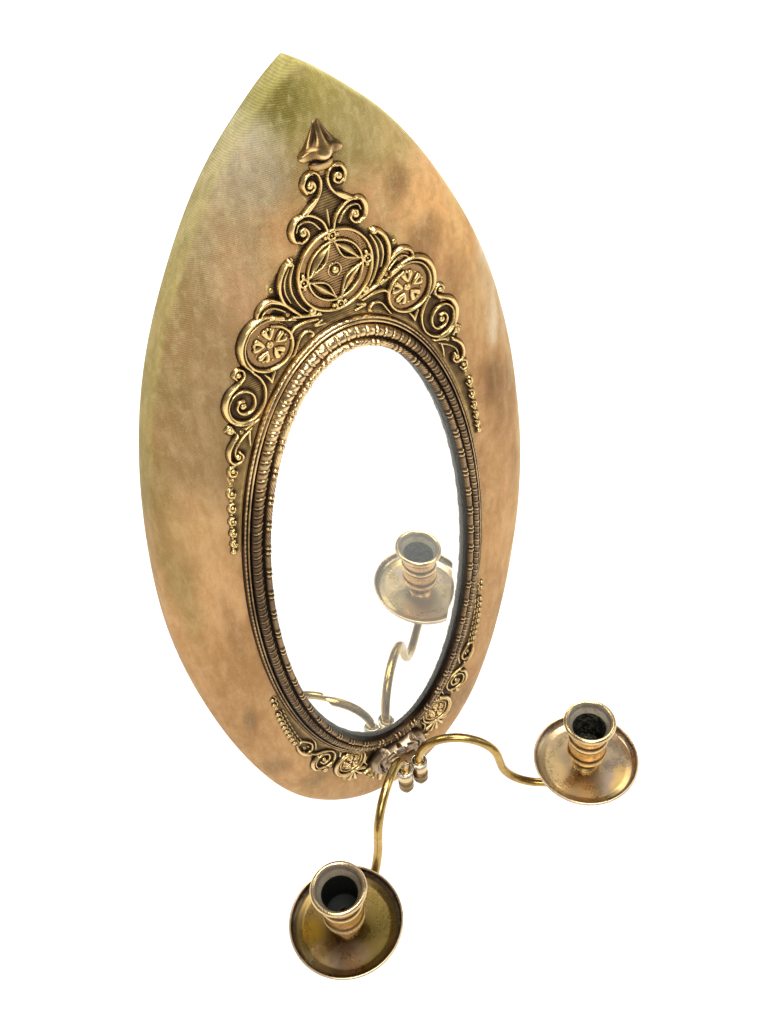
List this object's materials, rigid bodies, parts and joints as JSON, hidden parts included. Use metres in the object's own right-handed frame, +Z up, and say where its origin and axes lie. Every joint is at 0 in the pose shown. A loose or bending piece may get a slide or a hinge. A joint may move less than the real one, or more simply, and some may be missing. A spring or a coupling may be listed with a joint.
{
  "type": "girandole mirror",
  "caption": "Wall mirror: an oval bevelled glass in a pressed brass surround on an almond-shaped velvet board, with two swinging candle arms below it.",
  "frame": {"origin": "on the wall plane, on the centreline, at half the height of the board", "axes": "+Z up, +X to the viewer's right, +Y into the wall, so the mirror faces -Y"},
  "size_m": [0.271, 0.156, 0.545],
  "materials": {
    "pine": "bare pine, aged",
    "backing_wood": "thin deal panel, aged",
    "card": "brown card, matt",
    "velvet": "worn faded velvet",
    "mirror_glass": "silvered plate glass, bevelled",
    "pressed_brass": "pressed sheet, antique gold with dark recesses",
    "pin_brass": "small pins, tarnished",
    "cast_brass": "cast, dull brown patina",
    "rod_brass": "drawn rod, polished by handling",
    "bright_ring": "turned, worn bright and pale",
    "pan_brass": "spun, patina blotches",
    "cup_brass": "turned, dark inside",
    "plate_brass": "sheet, dull",
    "steel": "plain steel, dulled"
  },
  "bodies": {
    "frame": {"backboard": "pine", "velvet_cover": "velvet", "back_cover": "card", "mirror_glass": "mirror_glass", "mirror_backing": "backing_wood", "glazing_sprigs": "steel", "oval_moulding": "pressed_brass", "crest_plate": "pressed_brass", "crest_finial": "pressed_brass", "base_spray": "pressed_brass", "frame_pins": "pin_brass", "boss": "cast_brass", "boss_screw": "cast_brass", "arm_bracket": "cast_brass", "bracket_screws": "steel", "hanging_plate": "plate_brass", "hanging_screws": "steel"},
    "right_arm": {"arm_right": "rod_brass", "collar_right": "bright_ring", "acorn_nut_right": "cast_brass", "drip_pan_right": "pan_brass", "candle_cup_right": "cup_brass"},
    "left_arm": {"arm_left": "rod_brass", "collar_left": "bright_ring", "acorn_nut_left": "cast_brass", "drip_pan_left": "pan_brass", "candle_cup_left": "cup_brass"}
  },
  "joints": [
    {"name": "right_arm_swing", "type": "hinge", "parent": "frame", "child": "right_arm", "pos_m": [0.00635, -0.0477, -0.2152], "axis": [0, 0, 1], "range_deg": [-36, 37]},
    {"name": "left_arm_swing", "type": "hinge", "parent": "frame", "child": "left_arm", "pos_m": [-0.00635, -0.0477, -0.2152], "axis": [0, 0, 1], "range_deg": [-37, 36]}
  ]
}
